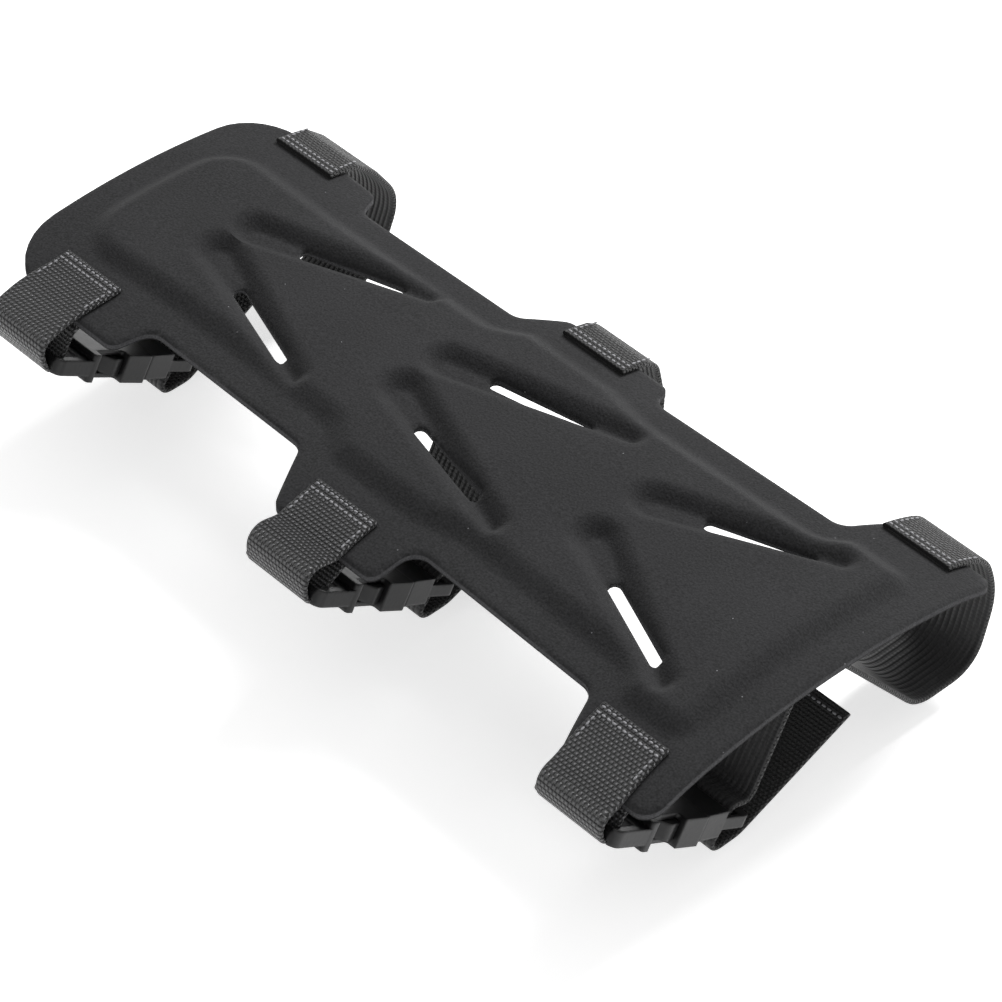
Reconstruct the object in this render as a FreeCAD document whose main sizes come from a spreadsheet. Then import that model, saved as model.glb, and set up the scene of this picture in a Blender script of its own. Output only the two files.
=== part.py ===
import FreeCAD, Part
import math
import os
import Sketcher

# Forearm guard: a ventilated, padded plate that lies along the inside of the forearm and
# is held by three elastic straps, each closed by a side-release buckle.
#
# Frame: X runs along the arm from the wrist to the elbow, Y across it with the buckles
# on the -Y side, and Z up. The guard lies on its strap loops, whose lowest points are at
# Z = 0. Every length is in millimetres.

V = FreeCAD.Vector
X_AXIS, Z_AXIS = V(1, 0, 0), V(0, 0, 1)

# Driving dimensions: alias, value, what it is.
DIMENSIONS = [
    ("crown_height", 62.0, "top of the pads over the surface that the loops lie on"),
    ("crown_radius", 260.0, "arch of the plate across its middle"),
    ("side_radius", 100.0, "tighter arch towards the ears"),
    ("side_start", 45.0, "half width at which the tighter arch starts"),
    ("pad_rise", 3.5, "pads over the pressed rim"),
    ("face_thick", 0.8, "face fabric"),
    ("foam_thick", 1.4, "foam where it is pressed flat"),
    ("lining_thick", 0.8, "lining fabric"),
    ("wrist_half", 52.0, "half width over the wrist ear with the buckle"),
    ("wrist_far_half", 52.5, "where the elastic leaves the wrist ear"),
    ("wrist_far_end", 54.0, "half width at the wrist end, on the elastic's side"),
    ("wrist_far_tip", 49.5, "half width at that ear's inner tip"),
    ("wrist_notch", 92.0, "wrist ear's inner tip, before the middle"),
    ("wrist_root", 87.5, "wrist ear's root"),
    ("wrist_waist", 40.0, "half width at the wrist ear's root"),
    ("wrist_side_root", 21.0, "middle ear's root on the wrist side"),
    ("wrist_side_waist", 41.0, "half width at that root"),
    ("wrist_side_tip", 11.0, "middle ear's tip on the wrist side"),
    ("middle_half", 60.0, "half width over the middle ear with the buckle"),
    ("middle_far_half", 53.5, "half width over the middle ear with the elastic"),
    ("elbow_side_tip", 30.0, "middle ear's tip on the elbow side"),
    ("elbow_side_root", 31.5, "middle ear's root on the elbow side"),
    ("elbow_side_waist", 45.0, "half width at that root"),
    ("elbow_root", 104.0, "elbow ear's root"),
    ("elbow_waist", 47.0, "half width at the elbow ear's root"),
    ("elbow_tip", 111.0, "elbow ear's tip"),
    ("elbow_half", 66.0, "half width over the elbow ears"),
    ("wrist_end", 147.0, "middle of the frame to the wrist end"),
    ("elbow_end", 145.0, "middle of the frame to the elbow end"),
    ("end_round", 18.0, "corner radius at the wrist end, on the elastic's side"),
    ("near_round", 23.0, "corner radius at the wrist end, on the buckle's side"),
    ("root_round", 6.0, "radius at the ears' roots"),
    ("tip_round", 4.0, "radius at the ears' tips"),
    ("rim_end", 9.0, "pressed rim at the two ends"),
    ("rim_side", 8.0, "pressed rim along the waist"),
    ("pad_swell", 7.5, "how far the pad spreads towards an ear"),
    ("pad_round", 8.0, "corner radius of the pad's outline"),
    ("groove_head", 5.0, "radius of a groove's round head"),
    ("groove_tip", 1.5, "radius of a groove's tip"),
    ("slot_wide", 4.0, "width of a ventilation slot"),
    ("web_wide", 25.0, "webbing and elastic width"),
    ("web_thick", 1.6, "webbing and elastic thickness"),
    ("web_gap", 0.15, "air between sewn webbing and the plate"),
    ("wrist_strap", -120.5, "wrist strap's middle along X"),
    ("middle_strap", 5.7, "middle strap's middle along X"),
    ("elbow_strap", 124.0, "elbow strap's middle along X"),
    ("buckle_tilt", 30.0, "slope of the buckles, in degrees"),
    ("buckle_half", 16.5, "half width of a socket"),
    ("buckle_thick", 9.0, "thickness of a socket"),
    ("frame_thick", 5.0, "thickness of a socket round its webbing slot"),
    ("frame_end", 12.0, "bar's middle to the start of the thick part"),
    ("cavity_start", 13.5, "bar's middle to the cavity's inner end"),
    ("slot_long", 6.5, "length of a socket's webbing slot"),
    ("bar_half", 1.3, "half of a socket's square webbing bar"),
    ("bar_radius", 1.85, "webbing's inner radius round that bar"),
    ("ear_overhang", 2.0, "how far webbing keeps the arch beyond an ear's edge"),
    ("socket_length", 36.0, "bar's middle to the socket's mouth"),
    ("socket_wall", 1.5, "socket's top and bottom walls"),
    ("throat_half", 12.3, "half width of the socket's throat"),
    ("throat_start", 26.0, "inner end of the throat, where the arms latch"),
    ("window_start", 14.5, "outer end of the side windows"),
    ("window_half", 13.0, "half width left between the side windows"),
    ("plug_gap", 0.3, "running clearance of the buckle's pieces"),
    ("plug_half", 15.5, "half width of a plug"),
    ("plug_thick", 8.0, "thickness of a plug's body"),
    ("rail_thick", 3.6, "thickness of a plug's rails and end bar"),
    ("plug_body_end", 47.5, "bar's middle to the end of the plug's body"),
    ("plug_bar_start", 54.0, "bar's middle to the plug's end bar"),
    ("plug_length", 58.0, "bar's middle to the plug's end"),
    ("tongue_half", 2.4, "half width of the plug's guide tongue"),
    ("tongue_start", 20.0, "bar's middle to the tongue's end"),
    ("tongue_thick", 3.2, "thickness of the tongue"),
    ("mould_taper", 0.5, "how much narrower a buckle's part is at its frame"),
    ("mould_round", 1.0, "corner radius of the buckle's blocks"),
    ("web_clear", 0.6, "space beside the webbing in a slot"),
    ("window_run", 1.5, "how far a window's cut reaches past the socket"),
    ("seat_mouth_in", 2.9, "arm's opening in the plug, from the pivot inwards"),
    ("seat_mouth_out", 3.2, "arm's opening in the plug, from the pivot outwards"),
    ("arm_pivot_u", 39.0, "bar's middle to the arms' pivots"),
    ("arm_pivot_x", 7.0, "arms' pivots to the buckle's middle"),
    ("knuckle_radius", 2.4, "round root of an arm"),
    ("arm_thick", 5.4, "thickness of an arm"),
    ("stitch_long", 2.4, "one stitch"),
    ("stitch_wide", 0.7, "width of a stitch"),
    ("stitch_high", 0.4, "height of a stitch over the webbing"),
    ("stitch_pitch", 3.4, "distance from one stitch to the next"),
]

# Ventilation grooves, on one side: round head, slot's two ends, tip, as (x, y).
GROOVES = [
    ((-96.7, 7.0), (-81.0, 12.7), (-51.5, 22.3), (-41.5, 26.0)),
    ((-14.5, 8.7), (-0.7, 14.6), (29.3, 21.0), (42.5, 26.5)),
    ((66.9, 10.8), (82.0, 18.2), (109.3, 28.9), (117.0, 34.2)),
]

# One entry per strap. Heights are depths below the crown. "bar" is the middle of the
# socket's webbing bar; "shoulder" is where the tab turns down towards that bar;
# "loop" is the free loop of elastic from the ear's edge down to the surface. Their points
# are (y, depth, corner radius). The rest are ends along Y.
STRAPS = {
    "wrist": dict(
        ear="wrist_half", far_ear="wrist_far_half",
        tab_start=36.5, tab_return=44.0, shoulder=(-65.5, 13.0, 5), bar=(-61.0, 20.5),
        sewn_start=43.5, tail_end=17.0,
        loop=[(62.5, 15.5, 10), (73.5, 31.0, 14), (68.0, 44.0, 16), (55.0, 61.2, 12),
              (44.0, 61.2, 16)]),
    "middle": dict(
        ear="middle_half", far_ear="middle_far_half",
        tab_start=46.8, tab_return=52.0, shoulder=(-73.5, 8.5, 6), bar=(-70.5, 18.5),
        sewn_start=46.0, tail_end=15.0,
        loop=[(60.5, 12.5, 7), (63.5, 27.0, 14), (60.0, 48.0, 14), (54.0, 61.2, 10),
              (43.0, 61.2, 16)]),
    "elbow": dict(
        ear="elbow_half", far_ear="elbow_half",
        tab_start=48.6, tab_return=57.0, shoulder=(-75.0, 14.5, 5), bar=(-71.5, 21.0),
        sewn_start=57.0, tail_end=19.5,
        loop=[(73.0, 15.0, 12), (77.4, 29.5, 25), (70.5, 54.2, 12), (47.5, 54.2, 14)]),
}
CREST = (4.0, 3.5, 8)

# A release arm's outline on its +X side, from its root round its head and back, as
# (x, u, corner radius); u runs from the middle of the socket's webbing bar.
ARM = [(5.7, 38.5, 0), (7.4, 26.7, 3), (8.6, 24.7, 3), (8.4, 18.6, 1.6), (11.4, 18.0, 2),
       (15.4, 22.0, 2.5), (14.8, 25.7, 0.6), (11.2, 25.7, 1), (9.6, 35.6, 2.5), (8.3, 38.5, 0)]

# The elastic's stops at the plug, as (u, w) in the buckle's frame and a corner radius: over
# the end bar, down through the slot, and the fold below it.
OVER_BAR, IN_SLOT, UNDER_SLOT, FOLD = (58.5, 5.0, 5), (51.2, 3.6, 2), (50.4, -5.0, 4), (47.0, -13.5, 2.5)

# Webbing's corner radius where it leaves an ear, and corners of its line round a bar.
EAR_TURN, WRAP_CORNERS = 6, 3

# The tail passes under the plug's end bar, at this place in the buckle's frame, and its free
# end hangs at this depth below the crown.
TAIL_UNDER = (60.0, -5.5, 12)
TAIL_DEPTH = 38.5


# Stitches of a sewn end: the rows across it and the pair at its edges, as distances from the
# webbing's cut end, and how far inside the edges that pair lies.
SEWN_ROWS, SEWN_SIDE, SELVEDGE = (1.5, 4.0), 7.0, 1.2
TAIL_ROW = 2.5


# ---------------------------------------------------------------- document and sheet

doc = FreeCAD.newDocument("forearm_guard")
sheet = doc.addObject("Spreadsheet::Sheet", "dims")
for row, (alias, value, meaning) in enumerate(DIMENSIONS, start=1):
    sheet.set(f"A{row}", meaning)
    sheet.set(f"B{row}", str(value))
    sheet.setAlias(f"B{row}", alias)
doc.recompute()


class Dims:
    """Reads the sheet's cells by name, so that dim.web_wide is the cell's number."""

    def __getattr__(self, alias):
        return float(sheet.get(alias))


dim = Dims()
nodes = []


def bind(item, prop, formula):
    """Bind a property to the sheet: words that are aliases are looked up in it."""
    item.setExpression(prop, formula.replace("$", "dims."))


def as_node(item, name):
    """Keep an object as one sub-part, under the name that its file gets."""
    item.Label = name
    nodes.append(item)
    return item


# ---------------------------------------------------------------- sketch helpers

def turn_at(points, i):
    """Unit directions to the neighbours of point i, and half the angle between them."""
    here, ahead = V(*points[i][:2], 0), V(*points[(i + 1) % len(points)][:2], 0)
    before = (V(*points[i - 1][:2], 0) - here).normalize()
    after = (ahead - here).normalize()
    return before, after, before.getAngle(after) / 2


def fitted(points):
    """An open line's points with radii cut to what the runs between them allow."""
    last = len(points) - 1
    radii = [p[2] if len(p) > 2 else 0 for p in points]
    result = [points[0]]
    for i in range(1, last):
        room = []
        for j in (i - 1, i + 1):
            run = math.dist(points[i][:2], points[j][:2])
            room.append(run * (0.5 if radii[j] else 1.0))
        half = turn_at(points, i)[2]
        result.append((*points[i][:2], min(radii[i], min(room) * math.tan(half))))
    return result + [points[last]]


def rounded(points, closed=True):
    """Lines through points joined by tangent arcs; a point is (a, b, radius)."""
    count = len(points)
    corners = [V(p[0], p[1], 0) for p in points]
    entry, leave, arcs = list(corners), list(corners), [None] * count
    for i in range(count) if closed else range(1, count - 1):
        radius = points[i][2] if len(points[i]) > 2 else 0
        if radius <= 0:
            continue
        before, after, half = turn_at(points, i)
        middle = (before + after).normalize()
        entry[i] = corners[i] + before * (radius / math.tan(half))
        leave[i] = corners[i] + after * (radius / math.tan(half))
        nearest = corners[i] + middle * (radius / math.sin(half) - radius)
        arcs[i] = Part.Arc(entry[i], nearest, leave[i])
    pieces = []
    for i in range(count if closed else count - 1):
        if arcs[i]:
            pieces.append(arcs[i])
        end = entry[(i + 1) % count]
        if leave[i].distanceToPoint(end) > 1e-6:
            pieces.append(Part.LineSegment(leave[i], end))
    return pieces


def thickened(points, thickness):
    """The closed outline, as points, of an open line that is given a thickness."""
    half = thickness / 2
    last = len(points) - 1
    sides = {1: [], -1: []}
    for i, point in enumerate(points):
        here = V(*point[:2], 0)
        if i in (0, last):
            other = V(*points[1 if i == 0 else last - 1][:2], 0)
            along = (other - here if i == 0 else here - other).normalize()
            normal, stretch, bend = V(-along.y, along.x, 0), 1.0, 0
        else:
            before, after, angle = turn_at(points, i)
            along = (after - before).normalize()
            normal, stretch = V(-along.y, along.x, 0), 1 / math.sin(angle)
            bend = math.copysign(1, after.dot(V(before.y, -before.x, 0)))
        for side, row in sides.items():
            spot = here + normal * (side * half * stretch)
            radius = point[2] - side * bend * half if bend else 0
            row.append((spot.x, spot.y, max(radius, 0.05)) if bend else (spot.x, spot.y))
    return sides[1] + sides[-1][::-1]


def body_sketch(body, role, pieces):
    """A sketch on one of the body's own origin planes."""
    sketch = body.newObject("Sketcher::SketchObject", "Sketch")
    plane = [f for f in body.Origin.OriginFeatures if f.Role == role][0]
    sketch.AttachmentSupport = [(plane, "")]
    sketch.MapMode = "FlatFace"
    sketch.addGeometry(pieces, False)
    return sketch


def pad(body, sketch, formula):
    """A pad of the sketch, equally to both sides of its plane."""
    feature = body.newObject("PartDesign::Pad", "Pad")
    feature.Profile = sketch
    feature.SideType = "Symmetric"
    bind(feature, "Length", formula)
    body.Tip = feature
    doc.recompute()
    return feature


def pocket(body, sketch, formula):
    """A pocket of the sketch to both sides of its plane; it has to remove material."""
    before = body.Shape.Volume
    feature = body.newObject("PartDesign::Pocket", "Pocket")
    feature.Profile = sketch
    feature.SideType = "Symmetric"
    bind(feature, "Length", formula)
    body.Tip = feature
    doc.recompute()
    if body.Shape.Volume > before - 1e-3:
        raise RuntimeError(f"{body.Label}: a pocket cuts nothing")
    return feature


def new_body(name):
    return doc.addObject("PartDesign::Body", name)


def box_outline(a0, a1, b0, b1):
    """A rectangle from (a0, b0) to (a1, b1)."""
    return rounded([(a0, b0), (a1, b0), (a1, b1), (a0, b1)])


def mirrored(points):
    """The half outline and its mirror image in the X axis, as one closed list."""
    return points + [(p[0], -p[1], *p[2:]) for p in reversed(points)]


# ---------------------------------------------------------------- the arch of the plate

def arch_centres():
    """Centre of the crown's arc and of the +Y side's arc, in (y, z), on the rim's top."""
    top = dim.crown_height - dim.pad_rise
    lean = math.asin(dim.side_start / dim.crown_radius)
    crown = V(0, top - dim.crown_radius, 0)
    step = dim.crown_radius - dim.side_radius
    side = crown + V(step * math.sin(lean), step * math.cos(lean), 0)
    return crown, side, lean


def arch_point(y, lift):
    """Point (y, z) of the arch over half width y, lifted off the rim's top at right angles."""
    crown, side, lean = arch_centres()
    if abs(y) <= dim.side_start:
        angle = math.asin(abs(y) / dim.crown_radius)
        centre, radius = crown, dim.crown_radius
    else:
        angle = math.asin((abs(y) - side.x) / dim.side_radius)
        centre, radius = side, dim.side_radius
    reach = radius + lift
    point = centre + V(reach * math.sin(angle), reach * math.cos(angle), 0)
    return V(math.copysign(point.x, y), point.y, 0)


def arch_tilt(y):
    """Slope of the arch at y, in degrees, positive where it falls towards +Y."""
    inner, outer = arch_point(y - 0.1, 0), arch_point(y + 0.1, 0)
    return math.degrees(math.atan2(inner.y - outer.y, outer.x - inner.x))


def arch_arcs(start, end, lift):
    """The arch from y = start to y = end, as arcs that change at the tighter part."""
    stops = [start, end]
    for change in (-dim.side_start, dim.side_start):
        if min(start, end) < change < max(start, end):
            stops.append(change)
    stops.sort(reverse=start > end)
    arcs = []
    for a, b in zip(stops, stops[1:]):
        ends = arch_point(a, lift), arch_point(b, lift)
        arcs.append(Part.Arc(ends[0], arch_point((a + b) / 2, lift), ends[1]))
    return arcs


def arch_corners(start, end, lift):
    """The arch from y = start to y = end as rounded corners (y, z, radius), ends included."""
    points = [tuple(arch_point(start, lift))[:2]]
    for arc in arch_arcs(start, end, lift):
        radius = arc.toShape().Curve.Radius
        chord = arc.EndPoint - arc.StartPoint
        angle = math.asin(chord.Length / 2 / radius)
        normal = V(-chord.y, chord.x, 0).normalize()
        outward = normal if normal.y > 0 else -normal
        corner = (arc.StartPoint + arc.EndPoint) * 0.5 + outward * (chord.Length / 2 * math.tan(angle))
        points.append((corner.x, corner.y, radius))
    return points + [tuple(arch_point(end, lift))[:2]]


def arch_band(name, top, bottom):
    """A solid between two lifts of the arch, longer and wider than the plate."""
    reach = dim.elbow_half + 6
    upper = arch_arcs(-reach, reach, top)
    lower = arch_arcs(reach, -reach, bottom)
    right = Part.LineSegment(upper[-1].EndPoint, lower[0].StartPoint)
    left = Part.LineSegment(lower[-1].EndPoint, upper[0].StartPoint)
    body = new_body(name)
    sketch = body_sketch(body, "YZ_Plane", upper + [right] + lower + [left])
    pad(body, sketch, "4 * $elbow_end")
    return body


# ---------------------------------------------------------------- outlines of the plate

def plate_side(end_half, end_round, tip_half, middle_half):
    """Corners of one side of the plate from the wrist end to the elbow end."""
    return [
        (-dim.wrist_end, end_half, end_round),
        (-dim.wrist_notch, tip_half, dim.tip_round),
        (-dim.wrist_root, dim.wrist_waist, dim.root_round),
        (-dim.wrist_side_root, dim.wrist_side_waist, dim.root_round),
        (-dim.wrist_side_tip, middle_half, dim.tip_round),
        (dim.elbow_side_tip, middle_half, dim.tip_round),
        (dim.elbow_side_root, dim.elbow_side_waist, dim.root_round),
        (dim.elbow_root, dim.elbow_waist, dim.root_round),
        (dim.elbow_tip, dim.elbow_half, dim.tip_round),
        (dim.elbow_end, dim.elbow_half, dim.root_round),
    ]


def plate_outline():
    """Outline of the whole plate, ears included."""
    far = plate_side(dim.wrist_far_end, dim.end_round, dim.wrist_far_tip, dim.middle_far_half)
    near = plate_side(dim.wrist_half, dim.near_round, dim.wrist_half, dim.middle_half)
    return rounded(far + [(x, -y, radius) for x, y, radius in reversed(near)])


def pad_outline(inset):
    """Outline of the raised pads, moved inwards by inset."""
    margin, rim, swell = dim.rim_end + inset, dim.rim_side + inset, dim.pad_swell
    turn = dim.pad_round
    half = [
        (margin - dim.wrist_end, dim.wrist_waist - rim + 2, dim.end_round),
        (-dim.wrist_root, dim.wrist_waist - rim, 3 * turn),
        (-dim.wrist_side_root, dim.wrist_side_waist - rim, turn),
        (-dim.wrist_side_tip + inset, dim.wrist_side_waist - rim + swell, turn),
        (dim.elbow_side_root - turn - inset, dim.wrist_side_waist - rim + swell, turn),
        (dim.elbow_side_root + turn, dim.elbow_side_waist - rim, turn),
        (dim.elbow_root, dim.elbow_waist - rim, turn),
        (dim.elbow_tip + inset, dim.elbow_waist - rim + swell, turn),
        (dim.elbow_end - margin, dim.elbow_waist - rim + swell, turn),
    ]
    return rounded(mirrored(half))


def groove_outline(groove, grow):
    """A leaf: round head, straight sides that close in, and a small round tip."""
    head, tip = V(*groove[0], 0), V(*groove[3], 0)
    along = (tip - head).normalize()
    across = V(-along.y, along.x, 0)
    big, small = dim.groove_head + grow, dim.groove_tip + grow
    left, right = head + across * big, head - across * big
    far_left, far_right = tip + across * small, tip - across * small
    return [
        Part.LineSegment(left, far_left),
        Part.Arc(far_left, tip + along * small, far_right),
        Part.LineSegment(far_right, right),
        Part.Arc(right, head - along * big, left),
    ]


def slot_outline(groove):
    """A slot with round ends between the groove's two middle points."""
    start, end = V(*groove[1], 0), V(*groove[2], 0)
    half = dim.slot_wide / 2
    along = (end - start).normalize()
    across = V(-along.y, along.x, 0) * half
    return [
        Part.LineSegment(start + across, end + across),
        Part.Arc(end + across, end + along * half, end - across),
        Part.LineSegment(end - across, start - across),
        Part.Arc(start - across, start - along * half, start + across),
    ]


def both_sides():
    """Every groove and its mirror image."""
    for groove in GROOVES:
        yield groove
        yield tuple((x, -y) for x, y in groove)


def prism(name, outline):
    """An outline in plan, padded through everything."""
    body = new_body(name)
    pad(body, body_sketch(body, "XY_Plane", outline), "4 * $crown_height")
    return body


def prisms(name, outlines):
    """Several separate outlines in plan, padded as one object."""
    return prism(name, [piece for outline in outlines for piece in outline])


def boolean(kind, name, base, tool):
    """Part::Cut, Part::Common or Part::Fuse of two objects."""
    item = doc.addObject(f"Part::{kind}", name)
    item.Base, item.Tool = base, tool
    doc.recompute()
    return item


# ---------------------------------------------------------------- the plate's three layers

def envelope(name, plate, depth, bottom):
    """The plate's outer shape, moved in by depth below its face, down to a lower lift."""
    rim = boolean("Common", name + "_rim", plate, arch_band(name + "_low", -depth, bottom))
    raised = prism(name + "_pads", pad_outline(depth))
    leaves = prisms(name + "_leaves", [groove_outline(g, depth) for g in both_sides()])
    pads = boolean("Cut", name + "_cut", raised, leaves)
    high = arch_band(name + "_high", dim.pad_rise - depth, bottom)
    puffed = boolean("Common", name + "_puffed", pads, high)
    return boolean("Fuse", name, rim, puffed)


def build_plate():
    """Face fabric, foam core and lining, with the six slots cut through all three."""
    plate = prism("plate", plate_outline())
    slots = prisms("slots", [slot_outline(g) for g in both_sides()])
    foam_top = dim.face_thick
    foam_bottom = -(dim.face_thick + dim.foam_thick)
    lining_bottom = foam_bottom - dim.lining_thick
    outer = envelope("outer", plate, 0.0, foam_bottom)
    inner = envelope("inner", plate, foam_top, foam_bottom)
    skin = boolean("Cut", "skin", outer, inner)
    as_node(boolean("Cut", "face_fabric", skin, slots), "face_fabric")
    as_node(boolean("Cut", "foam_core", inner, slots), "foam_core")
    under = arch_band("under", foam_bottom, lining_bottom)
    flat = boolean("Common", "lining_blank", plate, under)
    as_node(boolean("Cut", "lining_fabric", flat, slots), "lining_fabric")


# ---------------------------------------------------------------- webbing and elastic

def ribbon(name, centre, points):
    """Webbing: an open line in the YZ plane, thickened and padded about x = centre."""
    outline = thickened(fitted(points), dim.web_thick)
    body = new_body(name)
    pad(body, body_sketch(body, "YZ_Plane", rounded(outline)), "$web_wide")
    body.Placement = FreeCAD.Placement(V(centre, 0, 0), FreeCAD.Rotation())
    return as_node(body, name)


def buckle_point(strap, u, w):
    """Point (y, z) of a buckle: u along it from the bar's middle, w over its middle plane."""
    tilt = math.radians(dim.buckle_tilt)
    y, depth = strap["bar"]
    z = dim.crown_height - depth
    return (y + u * math.cos(tilt) + w * math.sin(tilt), z - u * math.sin(tilt) + w * math.cos(tilt))


def below_crown(points):
    """Points (y, depth, radius) as (y, z, radius)."""
    return [(y, dim.crown_height - depth, radius) for y, depth, radius in points]


def wrap(centre, radius, start, end, count):
    """Corners of a line that runs round a circle from one angle to another, in degrees."""
    step = math.radians(end - start) / count
    reach = radius / math.cos(step / 2)
    corners = []
    for i in range(count):
        angle = math.radians(start) + step * (i + 0.5)
        corners.append((centre[0] + reach * math.cos(angle), centre[1] + reach * math.sin(angle), radius))
    return corners


def bearing(centre, point):
    """Direction from a centre to a point, in degrees."""
    return math.degrees(math.atan2(point[1] - centre[1], point[0] - centre[0]))


def grazing(centre, point, radius):
    """Angle at the centre between a point and where a line from it touches the circle."""
    return math.degrees(math.acos(radius / math.dist(centre, point[:2])))


def tab_line(strap):
    """Sewn on the ear, out and round the socket's bar, up through its slot, back under the ear."""
    half = dim.web_thick / 2
    reach = dim.bar_radius + half + dim.web_gap
    edge = getattr(dim, strap["ear"]) + dim.ear_overhang
    above = arch_corners(-strap["tab_start"], -edge, half + dim.web_gap)
    thickness = dim.face_thick + dim.foam_thick + dim.lining_thick
    below = arch_corners(-edge, -strap["tab_return"], -(thickness + half + dim.web_gap))
    shoulder = below_crown([strap["shoulder"]])[0]
    bar = buckle_point(strap, 0, 0)
    start = bearing(bar, shoulder) + grazing(bar, shoulder, reach)
    end = 360 + bearing(bar, below[0]) - grazing(bar, below[0], reach)
    round_bar = wrap(bar, reach, start, end, WRAP_CORNERS)
    out, back = (*above[-1], EAR_TURN), (*below[0], EAR_TURN / 2)
    return above[:-1] + [out, shoulder] + round_bar + [back] + below[1:]


def strap_line(strap):
    """Sewn on the ear, a free loop, up to the lining, over the plug's bar and back."""
    lift = dim.web_thick / 2 + dim.web_gap
    edge = getattr(dim, strap["far_ear"]) + dim.ear_overhang
    sewn = arch_corners(strap["sewn_start"], edge, lift)
    route = below_crown(strap["loop"] + [CREST])
    for u, w, radius in (OVER_BAR, IN_SLOT, UNDER_SLOT, FOLD, TAIL_UNDER):
        route.append((*buckle_point(strap, u, w), radius))
    route.append((strap["tail_end"], dim.crown_height - TAIL_DEPTH))
    return sewn[:-1] + [(*sewn[-1], EAR_TURN)] + route


# ---------------------------------------------------------------- stitching

def stitch(place, turn):
    """One stitch, a small bar lying on the webbing."""
    bar = doc.addObject("Part::Box", "stitch")
    bind(bar, "Length", "$stitch_long")
    bind(bar, "Width", "$stitch_wide")
    bind(bar, "Height", "$stitch_high")
    middle = V(-dim.stitch_long / 2, -dim.stitch_wide / 2, 0)
    bar.Placement = FreeCAD.Placement(place, turn) * FreeCAD.Placement(middle, FreeCAD.Rotation())
    return bar


def stitching(name, stitches):
    """A run of stitches kept as one sub-part."""
    run = doc.addObject("Part::Compound", name)
    run.Links = stitches
    doc.recompute()
    return as_node(run, name)


def across_row(centre, y, z, tilt):
    """Stitches in a row along X, on a surface that slopes by tilt degrees."""
    turn = FreeCAD.Rotation(X_AXIS, -tilt)
    count = int((dim.web_wide - 2) // dim.stitch_pitch)
    first = centre - dim.stitch_pitch * (count - 1) / 2
    return [stitch(V(first + i * dim.stitch_pitch, y, z), turn) for i in range(count)]


def sewn_box(name, centre, start, outward):
    """Two rows along the sewn end and one row along each edge of the webbing."""
    lift = dim.web_thick + 3 * dim.web_gap
    stitches = []
    for step in SEWN_ROWS:
        y = start + outward * step
        at = arch_point(y, lift)
        stitches += across_row(centre, at.x, at.y, arch_tilt(y))
    edge = dim.web_wide / 2 - SELVEDGE
    for side in (-edge, edge):
        y = start + outward * SEWN_SIDE
        at = arch_point(y, lift)
        turn = FreeCAD.Rotation(X_AXIS, -arch_tilt(y)).multiply(FreeCAD.Rotation(Z_AXIS, 90))
        stitches.append(stitch(V(centre + side, at.x, at.y), turn))
    return stitching(name, stitches)


def tail_row(name, centre, strap):
    """One row across the tail close to its cut end."""
    under = buckle_point(strap, *TAIL_UNDER[:2])
    end = (strap["tail_end"], dim.crown_height - TAIL_DEPTH)
    slope = math.degrees(math.atan2(under[1] - end[1], end[0] - under[0]))
    lift = dim.web_thick / 2 + dim.web_gap
    run = math.radians(slope)
    y = end[0] - TAIL_ROW + lift * math.sin(run)
    z = end[1] + TAIL_ROW * math.tan(run) + lift * math.cos(run)
    return stitching(name, across_row(centre, y, z, slope))


# ---------------------------------------------------------------- buckle

def buckle_place(centre, strap):
    """Placement that carries the buckle's own frame to its strap."""
    y, depth = strap["bar"]
    turn = FreeCAD.Rotation(X_AXIS, -dim.buckle_tilt)
    return FreeCAD.Placement(V(centre, y, dim.crown_height - depth), turn)


def build_socket(name, place):
    """Hollow socket: webbing bar, two side windows and a narrower throat at its mouth."""
    body = new_body(name)
    wide, bar, mouth = dim.buckle_half, dim.bar_half, dim.socket_length
    end, turn = dim.frame_end, dim.root_round / 2
    neck, soft = wide - dim.mould_taper, dim.mould_round
    bar_end = neck - dim.mould_taper
    frame = [(-bar_end, -bar, turn), (bar_end, -bar, turn), (neck, end + turn), (-neck, end + turn)]
    pad(body, body_sketch(body, "XY_Plane", rounded(frame)), "$frame_thick")
    block = [(-neck, end, soft), (neck, end, soft), (wide, mouth, soft), (-wide, mouth, soft)]
    pad(body, body_sketch(body, "XY_Plane", rounded(block)), "$buckle_thick")
    web = dim.web_wide / 2 + dim.web_clear
    slot = box_outline(-web, web, bar, bar + dim.slot_long)
    pocket(body, body_sketch(body, "XY_Plane", slot), "2 * $buckle_thick")
    for side in (-1, 1):
        sketch = body_sketch(body, "XY_Plane", box_outline(-web, web, -2 * bar, bar))
        lift = V(0, 0, side * (dim.frame_thick / 4 + bar))
        sketch.AttachmentOffset = FreeCAD.Placement(lift, FreeCAD.Rotation())
        pocket(body, sketch, "$frame_thick / 2")
    notch, past = dim.window_half, wide + dim.window_run
    for side in (-1, 1):
        outline = rounded([
            (side * notch, dim.window_start, soft), (side * past, dim.window_start),
            (side * past, dim.throat_start), (side * notch, dim.throat_start, soft)])
        pocket(body, body_sketch(body, "XY_Plane", outline), "2 * $buckle_thick")
    inside, throat = wide - dim.bar_half - dim.mould_taper, dim.throat_half
    cavity = rounded([
        (-inside, dim.cavity_start), (inside, dim.cavity_start),
        (inside, dim.throat_start), (throat, dim.throat_start),
        (throat, mouth + soft), (-throat, mouth + soft), (-throat, dim.throat_start),
        (-inside, dim.throat_start)])
    pocket(body, body_sketch(body, "XY_Plane", cavity), "$buckle_thick - 2 * $socket_wall")
    body.Placement = place
    return as_node(body, name)


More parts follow.
